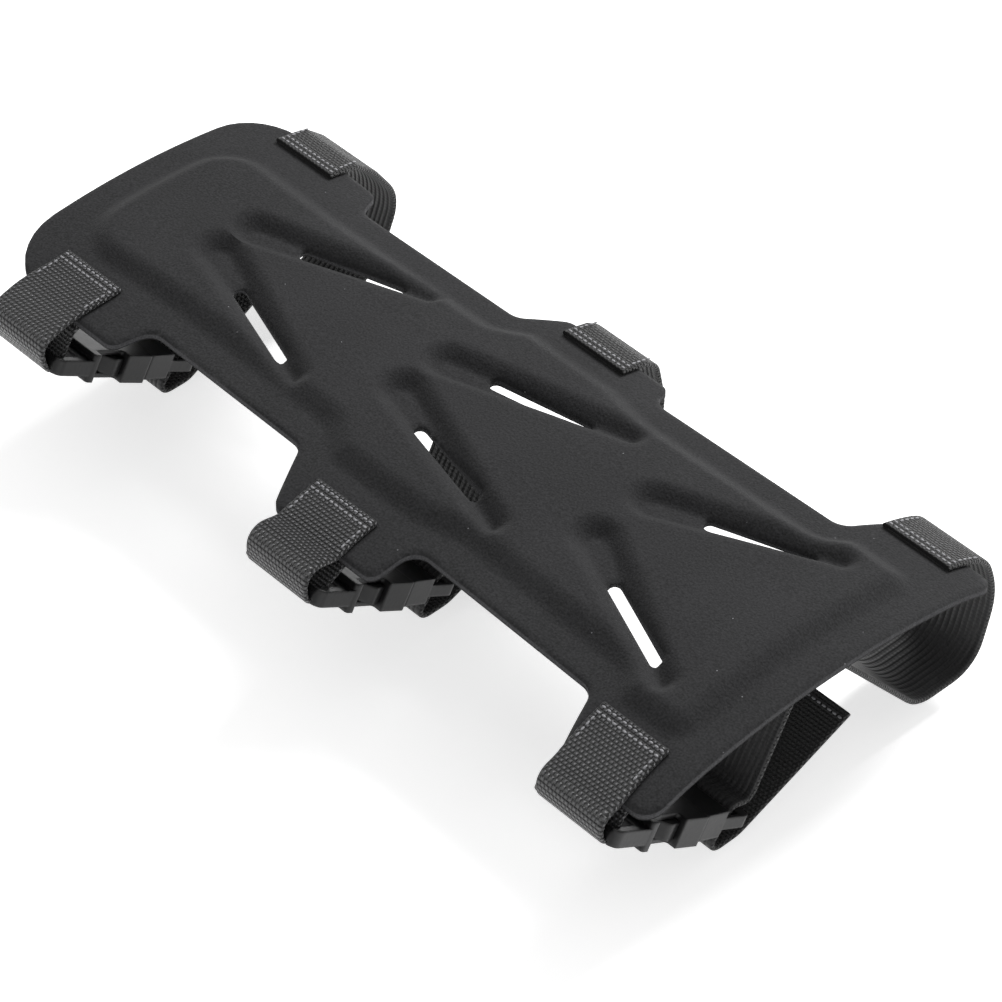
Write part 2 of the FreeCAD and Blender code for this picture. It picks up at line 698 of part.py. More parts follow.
def build_plug(name, place):
    """Plug: body with two round seats for the arms, guide tongue, rails and end bar."""
    body = new_body(name)
    wide, start = dim.plug_half, dim.socket_length + dim.plug_gap
    rail, soft = wide - 2 * dim.mould_taper, dim.mould_round
    block = [(-wide, start, soft), (wide, start, soft), (rail, dim.plug_body_end, soft),
             (-rail, dim.plug_body_end, soft)]
    pad(body, body_sketch(body, "XY_Plane", rounded(block)), "$plug_thick")
    tongue = rounded([
        (-dim.tongue_half, dim.tongue_start, soft), (dim.tongue_half, dim.tongue_start, soft),
        (dim.tongue_half, start + soft), (-dim.tongue_half, start + soft)])
    pad(body, body_sketch(body, "XY_Plane", tongue), "$tongue_thick")
    turn, inner = dim.knuckle_radius, dim.arm_pivot_u + soft
    frame = rounded([(-rail, inner), (rail, inner), (rail, dim.plug_length, turn),
                     (-rail, dim.plug_length, turn)])
    pad(body, body_sketch(body, "XY_Plane", frame), "$rail_thick")
    web = dim.web_wide / 2 + dim.web_clear
    slot = box_outline(-web, web, dim.plug_body_end, dim.plug_bar_start)
    pocket(body, body_sketch(body, "XY_Plane", slot), "2 * $rail_thick")
    seat = dim.knuckle_radius + dim.plug_gap
    for side in (-1, 1):
        outline = [Part.Circle(V(side * dim.arm_pivot_x, dim.arm_pivot_u, 0), Z_AXIS, seat)]
        pocket(body, body_sketch(body, "XY_Plane", outline), "$arm_thick + 2 * $plug_gap")
        near = side * (dim.arm_pivot_x - dim.seat_mouth_in)
        far = side * (dim.arm_pivot_x + dim.seat_mouth_out)
        mouth = box_outline(near, far, start - soft, dim.arm_pivot_u - soft)
        pocket(body, body_sketch(body, "XY_Plane", mouth), "$arm_thick + 2 * $plug_gap")
    body.Placement = place
    return as_node(body, name)


def build_arm(name, place, side):
    """Release arm: round root, springy shank and a latching head in the side window."""
    body = new_body(name)
    outline = rounded([(side * x, u, radius) for x, u, radius in ARM])
    pad(body, body_sketch(body, "XY_Plane", outline), "$arm_thick")
    root = V(side * dim.arm_pivot_x, dim.arm_pivot_u, 0)
    knuckle = [Part.Circle(root, Z_AXIS, dim.knuckle_radius)]
    pad(body, body_sketch(body, "XY_Plane", knuckle), "$arm_thick")
    body.Placement = place
    return as_node(body, name)


# ---------------------------------------------------------------- build, check, write

def build_strap_set(where, strap):
    """Everything at one strap: tab, buckle, elastic and stitching."""
    centre = getattr(dim, where + "_strap")
    place = buckle_place(centre, strap)
    ribbon(where + "_tab", centre, tab_line(strap))
    sewn_box(where + "_tab_stitching", centre, -strap["tab_start"], -1)
    build_socket(where + "_socket", place)
    build_plug(where + "_plug", place)
    build_arm(where + "_left_arm", place, -1)
    build_arm(where + "_right_arm", place, 1)
    ribbon(where + "_strap", centre, strap_line(strap))
    sewn_box(where + "_strap_stitching", centre, strap["sewn_start"], 1)
    tail_row(where + "_tail_stitching", centre, strap)


def check_document():
    """Stop if any object failed, or if a sub-part has no valid solid."""
    for item in doc.Objects:
        if "Invalid" in item.State or "Error" in item.State:
            raise RuntimeError(f"{item.Label} failed: {item.State}")
    for item in nodes:
        shape = item.Shape
        if shape.isNull() or not shape.isValid() or not shape.Solids:
            raise RuntimeError(f"{item.Label} is not a valid solid")


def write_parts():
    """One STEP file per sub-part, named after its label."""
    os.makedirs("parts", exist_ok=True)
    for item in nodes:
        item.Shape.exportStep(f"parts/{item.Label}.step")
        box = item.Shape.BoundBox
        print(f"{item.Label:24s} solids {len(item.Shape.Solids):3d} volume {item.Shape.Volume:9.1f}"
              f"  x {box.XMin:7.1f} {box.XMax:7.1f}  y {box.YMin:6.1f} {box.YMax:6.1f}"
              f"  z {box.ZMin:5.1f} {box.ZMax:5.1f}")


build_plate()
for where, strap in STRAPS.items():
    build_strap_set(where, strap)
doc.recompute()
check_document()
write_parts()
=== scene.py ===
# %% [markdown]
# # A forearm guard
#
# The guard is a padded plate for the inside of the forearm, held by three elastic straps
# with side-release buckles. Its plate is a sandwich of cloth, foam and lining, pressed hot
# in a mould: the mould squeezes a flat rim and six grooves, and the foam between them stays
# puffy. This file builds the soft parts as surfaces worked out with numpy, keeps the hard
# buckle parts from the CAD frame, and gives everything a procedural finish.

# %% The frame
import math

import bpy
import numpy as np
from mathutils import Matrix, Vector


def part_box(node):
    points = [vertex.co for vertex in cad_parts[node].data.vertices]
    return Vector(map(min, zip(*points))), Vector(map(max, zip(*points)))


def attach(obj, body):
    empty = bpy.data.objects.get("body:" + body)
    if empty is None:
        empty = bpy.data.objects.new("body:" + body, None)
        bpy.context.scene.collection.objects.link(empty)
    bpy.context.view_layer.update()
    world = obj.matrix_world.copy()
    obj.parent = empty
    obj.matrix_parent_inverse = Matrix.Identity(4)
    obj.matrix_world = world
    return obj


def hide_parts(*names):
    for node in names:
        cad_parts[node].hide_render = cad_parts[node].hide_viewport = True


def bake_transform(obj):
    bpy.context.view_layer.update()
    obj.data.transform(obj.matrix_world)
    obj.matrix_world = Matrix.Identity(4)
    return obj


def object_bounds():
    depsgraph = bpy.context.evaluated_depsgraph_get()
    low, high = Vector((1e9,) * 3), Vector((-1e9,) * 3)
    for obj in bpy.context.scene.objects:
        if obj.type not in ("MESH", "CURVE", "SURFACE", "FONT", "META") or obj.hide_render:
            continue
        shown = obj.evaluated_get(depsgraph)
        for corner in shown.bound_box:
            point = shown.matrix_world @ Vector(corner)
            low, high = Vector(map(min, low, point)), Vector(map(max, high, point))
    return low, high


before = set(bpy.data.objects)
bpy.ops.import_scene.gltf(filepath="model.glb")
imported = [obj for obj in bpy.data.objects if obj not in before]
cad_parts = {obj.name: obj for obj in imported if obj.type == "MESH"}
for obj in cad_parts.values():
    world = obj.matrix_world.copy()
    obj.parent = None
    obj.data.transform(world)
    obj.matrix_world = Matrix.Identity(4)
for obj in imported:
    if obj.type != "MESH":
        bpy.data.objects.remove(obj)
cad_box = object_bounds()
MM = 0.001

# %% [markdown]
# ## Where things are
#
# The CAD model stands on its strap loops with Z = 0 under them, X along the arm and the
# buckles at -Y. The plate's length and height are read from the frame. The sizes that the
# mould and the straps share with the CAD model are written here once, in millimetres.

# %% Sizes shared with the frame
plate_low, plate_high = (np.array(corner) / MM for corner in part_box("foam_core"))
WRIST_END, ELBOW_END = plate_low[0], plate_high[0]
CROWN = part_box("face_fabric")[1][2] / MM

PAD_RISE = 3.5
CROWN_RADIUS, SIDE_RADIUS, SIDE_START = 260.0, 100.0, 45.0
FACE_THICK, FOAM_THICK, LINING_THICK = 0.8, 1.4, 0.8
RIM_TOP = CROWN - PAD_RISE
UNDERSIDE = FACE_THICK + FOAM_THICK + LINING_THICK
WEB_WIDE, WEB_THICK, WEB_GAP = 25.0, 1.6, 0.15
BUCKLE_TILT = math.radians(30.0)
BAR_RADIUS = 1.85
print("plate from", round(float(WRIST_END)), "to", round(float(ELBOW_END)), "crown", round(float(CROWN)))

# %% [markdown]
# ## The arch
#
# Across the arm the plate follows three arcs: a wide one over the crown and a tighter one
# over each ear. A surface parallel to the rim is the same arcs with larger or smaller radii,
# so one function with a lift gives every layer.

# %% Arch
LEAN = math.asin(SIDE_START / CROWN_RADIUS)
CROWN_CENTRE = RIM_TOP - CROWN_RADIUS
SIDE_Y = (CROWN_RADIUS - SIDE_RADIUS) * math.sin(LEAN)
SIDE_Z = CROWN_CENTRE + (CROWN_RADIUS - SIDE_RADIUS) * math.cos(LEAN)


def arch_height(y, lift):
    """Height over y of the arch raised by lift: centre plus sqrt(radius^2 - offset^2)."""
    y = np.abs(y)
    middle = CROWN_CENTRE + np.sqrt((CROWN_RADIUS + lift) ** 2 - y ** 2)
    reach = np.clip((SIDE_RADIUS + lift) ** 2 - (y - SIDE_Y) ** 2, 0, None)
    side = SIDE_Z + np.sqrt(reach)
    return np.where(y < (CROWN_RADIUS + lift) * math.sin(LEAN), middle, side)


def arch_line(start, end, lift, step=0.5):
    """Points (y, z) along the arch, each moved off the rim's top by lift at right angles."""
    y = np.linspace(start, end, max(int(abs(end - start) / step), 2))
    side = np.abs(y) > SIDE_START
    radius = np.where(side, SIDE_RADIUS, CROWN_RADIUS)
    middle_y = np.where(side, SIDE_Y, 0.0)
    middle_z = np.where(side, SIDE_Z, CROWN_CENTRE)
    angle = np.arcsin((np.abs(y) - middle_y) / radius)
    out = middle_y + (radius + lift) * np.sin(angle)
    return np.stack([np.copysign(out, y), middle_z + (radius + lift) * np.cos(angle)], 1)


print("ear edge height", round(float(arch_height(66.0, 0.0)), 1))

# %% [markdown]
# ## Outlines and distances
#
# The mould's outlines are a few corners with radii. Everything that the mould does depends on
# how far a point is from an outline, so the outlines are used as signed distances, negative
# inside. That is easier than cutting shapes out of each other, and it gives soft edges free.

# %% Rounded outlines
def rounded(corners, closed=True, steps=9):
    """Corners (a, b, radius) as points, each corner an arc swept evenly between its sides."""
    corners = np.asarray(corners, float)
    spot, radius = corners[:, :2], corners[:, 2:3]
    before = np.roll(spot, 1, 0) - spot
    after = np.roll(spot, -1, 0) - spot
    before /= np.linalg.norm(before, axis=1, keepdims=True)
    after /= np.linalg.norm(after, axis=1, keepdims=True)
    half = np.arccos(np.clip((before * after).sum(1, keepdims=True), -1, 1)) / 2
    middle = (before + after) / np.linalg.norm(before + after, axis=1, keepdims=True)
    centre = spot + middle * radius / np.sin(half)
    entry = spot + before * radius / np.tan(half) - centre
    leave = spot + after * radius / np.tan(half) - centre
    turn = math.pi - 2 * half[:, None]
    share = np.linspace(0, 1, steps)[None, :, None]
    arc = (np.sin((1 - share) * turn) * entry[:, None] + np.sin(share * turn) * leave[:, None])
    points = centre[:, None] + arc / np.sin(turn)
    if closed:
        return points.reshape(-1, 2)
    return np.concatenate([spot[:1], points[1:-1].reshape(-1, 2), spot[-1:]])


def mirrored(half):
    """A half outline and its mirror image across the X axis."""
    half = np.asarray(half, float)
    return np.concatenate([half, half[::-1] * [1, -1, 1]])


square = rounded([(0, 0, 2), (10, 0, 2), (10, 10, 2), (0, 10, 2)])
print("a 10 mm square with 2 mm corners has", len(square), "points")

# %% Distances
def outline_distance(points, outline):
    """Distance to a closed outline: nearest of its edges, negative where a ray crosses it oddly."""
    nearest = np.full(len(points), np.inf)
    inside = np.zeros(len(points), bool)
    for a, b in zip(outline, np.roll(outline, -1, 0)):
        edge = b - a
        rel = points - a
        along = np.clip(rel @ edge / max(edge @ edge, 1e-12), 0, 1)
        nearest = np.minimum(nearest, np.linalg.norm(rel - along[:, None] * edge, axis=1))
        if a[1] != b[1]:
            spans = (a[1] > points[:, 1]) != (b[1] > points[:, 1])
            inside ^= spans & (rel[:, 0] < edge[0] * rel[:, 1] / edge[1])
    return np.where(inside, -nearest, nearest)


def leaf_distance(points, head, tip, big, small):
    """Distance to a leaf: two circles of different radii and the straight sides between them.

    The sides lean by the slope, so a point belongs to a circle once it is past that side's end."""
    head, tip = np.array(head), np.array(tip)
    length = np.linalg.norm(tip - head)
    axis = (tip - head) / length
    rel = points - head
    along, off = rel @ axis, np.abs(rel @ np.array([-axis[1], axis[0]]))
    slope = (big - small) / length
    run = math.sqrt(1 - slope ** 2)
    place = along * run - off * slope
    at_head = np.hypot(along, off) - big
    at_tip = np.hypot(along - length, off) - small
    beside = off * run + along * slope - big
    return np.where(place < 0, at_head, np.where(place > length * run, at_tip, beside))


print("square's middle is at", outline_distance(np.array([[5.0, 5.0]]), square)[0], "mm")


# %% [markdown]
# ## The mould's shapes
#
# The plate's outline has three ears on each side, and the pads' outline follows it a rim's
# width further in. Each groove is a leaf with a round head and a fine tip, and a slot for air
# lies along its floor. The ears that carry buckles are a little wider than those opposite, so
# the two sides come from one function with four sizes, instead of one side and its mirror.

# %% The mould's shapes
TIP_ROUND, ROOT_ROUND, PAD_ROUND = 4.0, 6.0, 8.0
WRIST_ROOT, MIDDLE_ROOT, MIDDLE_TIP = -87.5, -21.0, -11.0
ELBOW_ROOT, ELBOW_TIP, ELBOW_HALF = 104.0, 111.0, 66.0
RIM_END = 9.0


def plate_side(end_half, end_round, tip_half, middle_half):
    """Corners (x, half width, radius) of one side of the plate, from the wrist to the elbow."""
    return np.array([
        (WRIST_END, end_half, end_round), (-92, tip_half, TIP_ROUND), (WRIST_ROOT, 40, ROOT_ROUND),
        (MIDDLE_ROOT, 41, ROOT_ROUND), (MIDDLE_TIP, middle_half, TIP_ROUND), (30, middle_half, TIP_ROUND),
        (31.5, 45, ROOT_ROUND), (ELBOW_ROOT, 47, ROOT_ROUND), (ELBOW_TIP, ELBOW_HALF, TIP_ROUND),
        (ELBOW_END, ELBOW_HALF, ROOT_ROUND)])


elastic_side = plate_side(end_half=54, end_round=18, tip_half=49.5, middle_half=53.5)
buckle_side = plate_side(end_half=52, end_round=23, tip_half=52, middle_half=60)
PLATE = rounded(np.concatenate([elastic_side, buckle_side[::-1] * [1, -1, 1]]))
PADS = rounded(mirrored([
    (WRIST_END + RIM_END, 34, 18), (WRIST_ROOT, 32, 24), (MIDDLE_ROOT, 33, PAD_ROUND),
    (MIDDLE_TIP, 40.5, PAD_ROUND), (23.5, 40.5, PAD_ROUND), (39.5, 37, PAD_ROUND),
    (ELBOW_ROOT, 39, PAD_ROUND), (ELBOW_TIP, 46.5, PAD_ROUND), (ELBOW_END - RIM_END, 46.5, PAD_ROUND)]))

print("outline points", len(PLATE), "pad points", len(PADS))

# %% Grooves and slots
# Each groove: its head, the two ends of its slot, its tip.
GROOVES = [
    ((-96.7, 7.0), (-81.0, 12.7), (-51.5, 22.3), (-41.5, 26.0)),
    ((-14.5, 8.7), (-0.7, 14.6), (29.3, 21.0), (42.5, 26.5)),
    ((66.9, 10.8), (82.0, 18.2), (109.3, 28.9), (117.0, 34.2)),
]
GROOVES += [tuple((x, -y) for x, y in groove) for groove in GROOVES]
SLOT_RADIUS = 2.0
GROOVE_HEAD, GROOVE_TIP = 3.2, 0.3


def slot_distance(points):
    """Distance to the nearest of the six slots."""
    return np.min([leaf_distance(points, g[1], g[2], SLOT_RADIUS, SLOT_RADIUS) for g in GROOVES], 0)


def groove_distance(points):
    """Distance to the nearest of the six grooves' floors."""
    return np.min([leaf_distance(points, g[0], g[3], GROOVE_HEAD, GROOVE_TIP) for g in GROOVES], 0)


def plate_distance(points):
    """Distance to the plate's material: inside the outline and outside every slot."""
    return np.maximum(outline_distance(points, PLATE), -slot_distance(points))


print("grooves", len(GROOVES), "each with a slot", 2 * SLOT_RADIUS, "mm wide")

# %% [markdown]
# ## Making a mesh
#
# A surface here is an array of points and an array of faces that index it. The plan of the
# plate is a square grid cut along the outline and the slots. A plain cut leaves steps, so the
# points on the cut are then slid along the distance's slope until they lie on the outline.

# %% A new mesh
def new_mesh(name, points, faces, sharp):
    """An object at the origin from points in millimetres and faces, shaded smooth up to an angle."""
    mesh = bpy.data.meshes.new(name)
    mesh.from_pydata((np.asarray(points) * MM).tolist(), [], np.asarray(faces).tolist())
    mesh.polygons.foreach_set("use_smooth", np.ones(len(mesh.polygons), bool))
    mesh.set_sharp_from_angle(angle=math.radians(sharp))
    mesh.update()
    piece = bpy.data.objects.new(name, mesh)
    bpy.context.scene.collection.objects.link(piece)
    return piece


print("points in millimetres are multiplied by", MM)

# %% Cutting a grid
GRID = 1.0


def slope_of(distance, points, step=0.05):
    """Distance's slope at the points, from differences along each axis."""
    east, north = np.array([step, 0]), np.array([0, step])
    rise = np.stack([distance(points + e) - distance(points - e) for e in (east, north)], 1)
    return rise / np.maximum(np.linalg.norm(rise, axis=1, keepdims=True), 1e-9)


def cut_grid(distance, low, high, step):
    """Grid points and quads where distance is negative; points on the cut slide to the outline.

    A point moves against the slope by its distance, three times over: Newton's method."""
    x = np.arange(low[0] - step, high[0] + 2 * step, step)
    y = np.arange(low[1] - step, high[1] + 2 * step, step)
    points = np.stack(np.meshgrid(x, y, indexing="ij"), -1).reshape(-1, 2)
    index = np.arange(len(x) * len(y)).reshape(len(x), len(y))
    quads = np.stack([index[:-1, :-1], index[1:, :-1], index[1:, 1:], index[:-1, 1:]], -1).reshape(-1, 4)
    quads = quads[distance(points[quads].mean(1)) < 0]
    uses = np.bincount(quads.ravel(), minlength=len(points))
    rim = np.flatnonzero((uses > 0) & (uses < 4))
    for _ in range(3):
        points[rim] -= distance(points[rim])[:, None] * slope_of(distance, points[rim])
    kept = np.flatnonzero(uses)
    renumber = np.zeros(len(points), int)
    renumber[kept] = np.arange(len(kept))
    return points[kept], renumber[quads]


plan, quads = cut_grid(plate_distance, plate_low, plate_high, GRID)
print("plate points", len(plan), "quads", len(quads))

# %% A closed layer
def slab(plan, quads, top, bottom):
    """A closed layer: the plan at two heights, and a wall down every edge that one quad uses."""
    count = len(plan)
    points = np.concatenate([np.column_stack([plan, top]), np.column_stack([plan, bottom])])
    edges = np.concatenate([quads[:, [i, (i + 1) % 4]] for i in range(4)])
    forward = edges[:, 0] * count + edges[:, 1]
    backward = edges[:, 1] * count + edges[:, 0]
    rim = edges[~np.isin(forward, backward)]
    wall = np.column_stack([rim[:, 1], rim[:, 0], rim[:, 0] + count, rim[:, 1] + count])
    return points, np.concatenate([quads, quads[:, ::-1] + count, wall])


print("a layer of the plate has", 2 * len(plan), "points")


# %% [markdown]
# ## The plate
#
# On the real guard three sheets go into the press together. Here each layer is its own closed
# sheet, so the cut edge shows cloth, foam and lining as three lines. The top's height is the
# rim plus the pad's rise, and that rise fades near the pad's outline and near a groove. The
# fade is an S curve, steep at the side and round on top, as foam comes out of a mould.

# %% How high the pads rise
PAD_SHOULDER, EDGE_ROUND = 8.0, 1.4
GROOVE_SHOULDER, GROOVE_SINK, STEEP_SHARE = 6.0, 0.6, 0.6


def ease(distance, width):
    """0 at the outline, 1 from width on, with the S curve 3t^2 - 2t^3 between."""
    t = np.clip(distance / width, 0, 1)
    return t * t * (3 - 2 * t)


def pad_lift(plan):
    """Height over the rim: S curve at the pad's outline; at a groove a mix with 1 - (1 - t)^2."""
    side = ease(-outline_distance(plan, PADS), PAD_SHOULDER)
    away = groove_distance(plan)
    t = np.clip(away / GROOVE_SHOULDER, 0, 1)
    groove = STEEP_SHARE * (1 - (1 - t) ** 2) + (1 - STEEP_SHARE) * ease(away, GROOVE_SHOULDER)
    return side * ((PAD_RISE + GROOVE_SINK) * groove - GROOVE_SINK)


lift = pad_lift(plan)
print("pads rise by", round(float(lift.max()), 2), "mm, grooves sink by", round(float(-lift.min()), 2), "mm")

# %% Heights of the layers
edge = np.clip(-plate_distance(plan) / EDGE_ROUND, 0, 1)
rounding = 0.5 * (1 - np.sqrt(1 - (1 - edge) ** 2))
top = arch_height(plan[:, 1], lift) - rounding
cloth_floor = arch_height(plan[:, 1], lift - FACE_THICK)
lining_top = arch_height(plan[:, 1], -FACE_THICK - FOAM_THICK)
lining_floor = arch_height(plan[:, 1], -UNDERSIDE) + rounding
print("face from", round(float(top.min()), 1), "to", round(float(top.max()), 1), "mm")

# %% Three closed sheets
HAIR = 0.02  # air between neighbouring sheets, so that no two faces share a place
PLATE_SHARP = 60.0
face = new_mesh("plate_face", *slab(plan, quads, top, cloth_floor + HAIR), PLATE_SHARP)
foam = new_mesh("plate_foam", *slab(plan, quads, cloth_floor - HAIR, lining_top + HAIR), PLATE_SHARP)
lining = new_mesh("plate_lining", *slab(plan, quads, lining_top - HAIR, lining_floor), PLATE_SHARP)
for piece, node in ((face, "face_fabric"), (foam, "foam_core"), (lining, "lining_fabric")):
    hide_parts(node)
    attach(piece, "guard")
print("sheets", face.name, foam.name, lining.name)

# %% [markdown]
# ## Webbing and elastic
#
# A strap is a flat ribbon carried along a line. The line is written in the plane across the
# arm; the ribbon's section is a flat oval, 25 mm wide. The section is swept along the line and
# its ends are closed. Distance along and across the ribbon go into a UV map in metres, so that
# the weave keeps its real pitch round every bend.

# %% Ribbon helpers
RIBBON_STEP, RIBBON_PASSES, RIBBON_SHARP = 0.6, 6, 50.0


def spaced(line, step):
    """The line's points spread evenly, step apart, by length along it."""
    run = np.concatenate([[0], np.cumsum(np.linalg.norm(np.diff(line, axis=0), axis=1))])
    at = np.linspace(0, run[-1], max(int(run[-1] / step), 8))
    return np.stack([np.interp(at, run, line[:, k]) for k in range(2)], 1), at


def softened(line, passes):
    """Each inner point moved to the mean of itself and its neighbours, several times."""
    line = line.copy()
    for _ in range(passes):
        line[1:-1] = (line[:-2] + 2 * line[1:-1] + line[2:]) / 4
    return line


def oval(wide, thick, across=26, round_steps=5):
    """Section (x, n): two straight sides joined by half circles, going round once."""
    r = thick / 2
    x = np.linspace(-wide / 2 + r, wide / 2 - r, across)
    turn = np.linspace(-math.pi / 2, math.pi / 2, round_steps + 2)[1:-1]
    right = np.stack([wide / 2 - r + r * np.cos(turn), r * np.sin(turn)], 1)
    bottom, top = np.stack([x, x * 0 - r], 1), np.stack([x[::-1], x * 0 + r], 1)
    return np.concatenate([bottom, right, top, -right])


print("section points", len(oval(WEB_WIDE, WEB_THICK)))


# %% Ribbon
def ribbon(name, line, centre, sway):
    """Ribbon along a (y, z) line: section point x goes along X, n along the line's normal."""
    line, run = spaced(line, RIBBON_STEP)
    line = softened(line, RIBBON_PASSES)
    tangent = np.gradient(line, axis=0)
    tangent /= np.linalg.norm(tangent, axis=1, keepdims=True)
    normal = np.stack([-tangent[:, 1], tangent[:, 0]], 1)
    section = oval(WEB_WIDE, WEB_THICK)
    x = centre + sway(run)[:, None] + section[None, :, 0]
    yz = line[:, None] + normal[:, None] * section[None, :, 1:2]
    points = np.concatenate([x[..., None], yz], 2)
    rows, cols = points.shape[:2]
    index = np.arange(rows * cols).reshape(rows, cols)
    nxt = np.roll(index, -1, 1)
    skin = np.stack([index[:-1], index[1:], nxt[1:], nxt[:-1]], -1).reshape(-1, 4)
    half = cols // 2
    low, high = np.arange(half - 1), cols - 1 - np.arange(half - 1)
    cap = np.stack([low, high, high - 1, low + 1], 1)
    caps = np.concatenate([cap, cap[:, ::-1] + (rows - 1) * cols])
    piece = new_mesh(name, points.reshape(-1, 3), np.concatenate([skin, caps]), RIBBON_SHARP)
    across = np.cumsum(np.linalg.norm(np.roll(section, -1, 0) - section, axis=1))
    weave = np.stack(np.broadcast_arrays(across[None, :], run[:, None]), -1).reshape(-1, 2) * MM
    corner = np.empty(len(piece.data.loops), int)
    piece.data.loops.foreach_get("vertex_index", corner)
    layer = piece.data.uv_layers.new(name="weave")
    layer.data.foreach_set("uv", weave[corner].ravel())
    return piece, run[-1]


print("ribbon points", RIBBON_STEP, "mm apart")

# %% [markdown]
# ## The three straps
#
# Each strap has a short tab on the buckle side and a long elastic on the other. The tab is
# sewn on its ear, curls down, goes round the bar of the buckle's socket and comes back under
# the ear. The elastic is sewn on the opposite ear, hangs in a free loop, comes up under the
# lining, goes down to the plug, round its bar, and its tail lies back under the guard. These
# lines repeat the CAD model's, because the buckles that they go through are CAD pieces.

# %% Sizes of the straps
STRAPS = {
    "wrist": dict(
        centre=-120.5, ear=52.0, far_ear=52.5, tab_start=36.5, tab_return=44.0,
        shoulder=(-65.5, 13.0, 5), bar=(-61.0, 20.5), sewn_start=43.5, tail_end=17.0, sway=2.5,
        loop=[(62.5, 15.5, 10), (73.5, 31, 14), (68, 44, 16), (55, 61.2, 11), (44, 61.2, 12)]),
    "middle": dict(
        centre=5.7, ear=60.0, far_ear=53.5, tab_start=46.8, tab_return=52.0,
        shoulder=(-73.5, 8.5, 5), bar=(-70.5, 18.5), sewn_start=46.0, tail_end=15.0, sway=0.0,
        loop=[(60.5, 12.5, 4), (63.5, 27, 14), (60, 48, 14), (54, 61.2, 9), (43, 61.2, 12)]),
    "elbow": dict(
        centre=124.0, ear=66.0, far_ear=66.0, tab_start=48.6, tab_return=57.0,
        shoulder=(-75.0, 14.5, 5), bar=(-71.5, 21.0), sewn_start=57.0, tail_end=19.5, sway=-1.5,
        loop=[(73, 15, 10), (77.4, 29.5, 25), (70.5, 54.2, 11), (47.5, 54.2, 12)]),
}
CREST = (4.0, 3.5, 8)
TAIL_DEPTH = 38.5
PLUG_STOPS = [(58.5, 5.0, 3), (51.2, 3.6, 1.6), (50.4, -5.0, 2.5), (47.0, -13.5, 2.5), (60.0, -5.5, 6)]
EAR_OVERHANG = 2.0
print("straps at", [strap["centre"] for strap in STRAPS.values()])

# %% The buckle's own coordinates
def on_buckle(strap, u, w):
    """Point (y, z) of the tilted buckle: u along it from the bar's middle, w over it."""
    y, depth = strap["bar"]
    c, s = math.cos(BUCKLE_TILT), math.sin(BUCKLE_TILT)
    return y + u * c + w * s, CROWN - depth - u * s + w * c


def below_crown(points):
    """Corners (y, depth, radius) as (y, z, radius)."""
    return [(y, CROWN - depth, r) for y, depth, r in points]


print("elbow buckle's bar at", [round(float(v), 1) for v in on_buckle(STRAPS["elbow"], 0, 0)])

# %% The tab's line
def tab_line(strap):
    """On the ear, over the shoulder, round the bar and back under the ear."""
    edge = strap["ear"] + EAR_OVERHANG
    lift = WEB_THICK / 2 + WEB_GAP
    above = arch_line(-strap["tab_start"], -edge, lift)
    below = arch_line(-edge, -strap["tab_return"], -UNDERSIDE - lift)
    reach = BAR_RADIUS + WEB_THICK / 2
    bar = np.array(on_buckle(strap, 0, 0))
    shoulder = below_crown([strap["shoulder"]])[0]

    def bearing(point):
        return math.atan2(point[1] - bar[1], point[0] - bar[0])

    def grazing(point):
        return math.acos(reach / math.dist(point[:2], bar))

    start = bearing(shoulder) + grazing(shoulder)
    end = 2 * math.pi + bearing(below[0]) - grazing(below[0])
    angle = np.linspace(start, end, 24)
    round_bar = bar + reach * np.stack([np.cos(angle), np.sin(angle)], 1)
    curl = rounded([(*above[-1], 1), shoulder, (*round_bar[0], 1)], closed=False)
    return np.concatenate([above, curl[1:-1], round_bar, below])


print("tab line's points", len(tab_line(STRAPS["elbow"])))

# %% The elastic's line
def strap_line(strap):
    """On the ear, the free loop, the crest, over the plug's bar, the fold and the tail."""
    edge = strap["far_ear"] + EAR_OVERHANG
    sewn = arch_line(strap["sewn_start"], edge, WEB_THICK / 2 + WEB_GAP)
    route = [(*sewn[-1], 1)] + below_crown(strap["loop"] + [CREST])
    route += [(*on_buckle(strap, u, w), radius) for u, w, radius in PLUG_STOPS]
    route += [(strap["tail_end"], CROWN - TAIL_DEPTH, 1)]
    return np.concatenate([sewn[:-1], rounded(route, closed=False)])


print("elastic line's points", len(strap_line(STRAPS["elbow"])))


# %% [markdown]
# ## Tabs and elastics
#
# Now each line becomes a ribbon. Straps are never sewn quite in line with their buckles, so
# the sewn end is shifted sideways by the strap's sway, which fades along the ribbon. The tab
# rides on the guard. The elastic goes round the plug's bar.

# %% Tabs and elastics
TAB_SWAY_REACH, ELASTIC_SWAY_REACH = 26.0, 45.0
FOLD_U = 60.0  # along the buckle, just past the plug's end bar


def sway_at(strap, run, reach):
    """Sideways shift that starts as the strap's sway and is gone after reach, as an S curve."""
    return strap["sway"] * (1 - ease(run, reach))


def bend_with_plug(piece, where, strap):
    """Bake the piece's transform into its mesh; the fold's place is worked out but not used."""
    fold_y = (on_buckle(strap, FOLD_U, 0)[0] + 3) * MM
    where + "_plug_half"
    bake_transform(piece)


webbing, elastics = [], []
for where, strap in STRAPS.items():
    tab, tab_length = ribbon(where + "_tab_webbing", tab_line(strap), strap["centre"],
                             lambda run: sway_at(strap, run, TAB_SWAY_REACH))
    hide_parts(where + "_tab")
    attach(tab, "guard")
    webbing.append(tab)
    band, band_length = ribbon(where + "_elastic", strap_line(strap), strap["centre"],
                               lambda run: sway_at(strap, run, ELASTIC_SWAY_REACH))
    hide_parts(where + "_strap")
    bend_with_plug(band, where, strap)
    elastics.append(band)
    print(where, "tab", round(float(tab_length)), "mm, elastic", round(float(band_length)), "mm")

